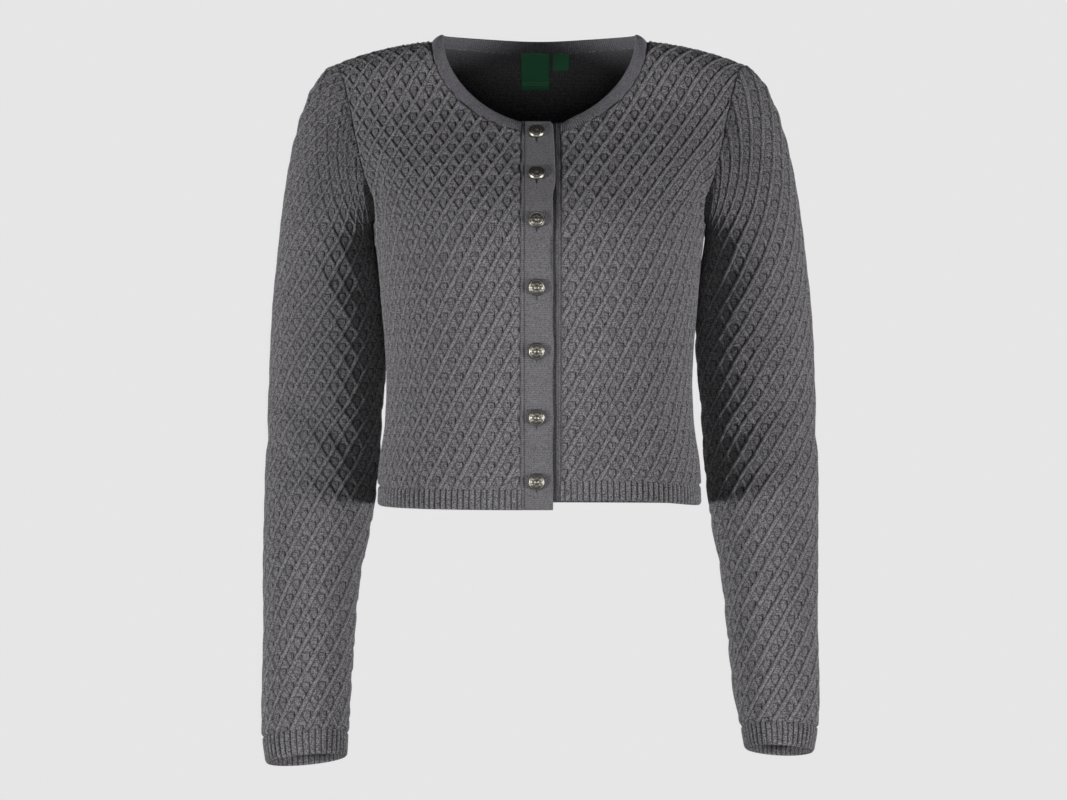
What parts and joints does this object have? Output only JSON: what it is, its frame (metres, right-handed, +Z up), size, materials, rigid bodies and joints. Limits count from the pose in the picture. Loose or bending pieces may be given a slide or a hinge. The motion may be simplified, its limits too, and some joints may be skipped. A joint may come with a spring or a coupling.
{
  "type": "cardigan",
  "caption": "Cropped long-sleeved round-neck cardigan in raised diamond trellis knit, with ribbed hem and cuffs, plain button bands and domed metal buttons, filled out as if worn.",
  "frame": {"origin": "on the centre plane, level with the high points of the two shoulders, where the wearer's shoulders hold the garment up", "axes": "+Z up, -Y to the front, +X towards the wearer's left"},
  "size_m": [0.5131, 0.2406, 0.6699],
  "materials": {
    "back": "matt mid-grey trellis knit",
    "front_right": "matt mid-grey trellis knit",
    "front_left": "matt mid-grey trellis knit",
    "sleeve_right": "matt mid-grey trellis knit",
    "sleeve_left": "matt mid-grey trellis knit",
    "hem_back": "matt mid-grey ribbed knit",
    "hem_right": "matt mid-grey ribbed knit",
    "hem_left": "matt mid-grey ribbed knit",
    "cuff_right": "matt mid-grey ribbed knit",
    "cuff_left": "matt mid-grey ribbed knit",
    "neckband": "matt mid-grey fine knit",
    "band_buttonhole": "matt mid-grey fine knit",
    "band_button": "matt mid-grey fine knit",
    "buttons": "antique silver, polished high spots and dark recesses",
    "labels": "dark green woven satin, bare"
  },
  "bodies": {
    "root": {"back": "back", "front_right": "front_right", "front_left": "front_left", "sleeve_right": "sleeve_right", "sleeve_left": "sleeve_left", "hem_back": "hem_back", "hem_right": "hem_right", "hem_left": "hem_left", "cuff_right": "cuff_right", "cuff_left": "cuff_left", "neckband": "neckband", "band_buttonhole": "band_buttonhole", "band_button": "band_button", "button_1": "buttons", "button_2": "buttons", "button_3": "buttons", "button_4": "buttons", "button_5": "buttons", "button_6": "buttons", "button_7": "buttons", "label_main": "labels", "label_size": "labels"}
  },
  "joints": []
}
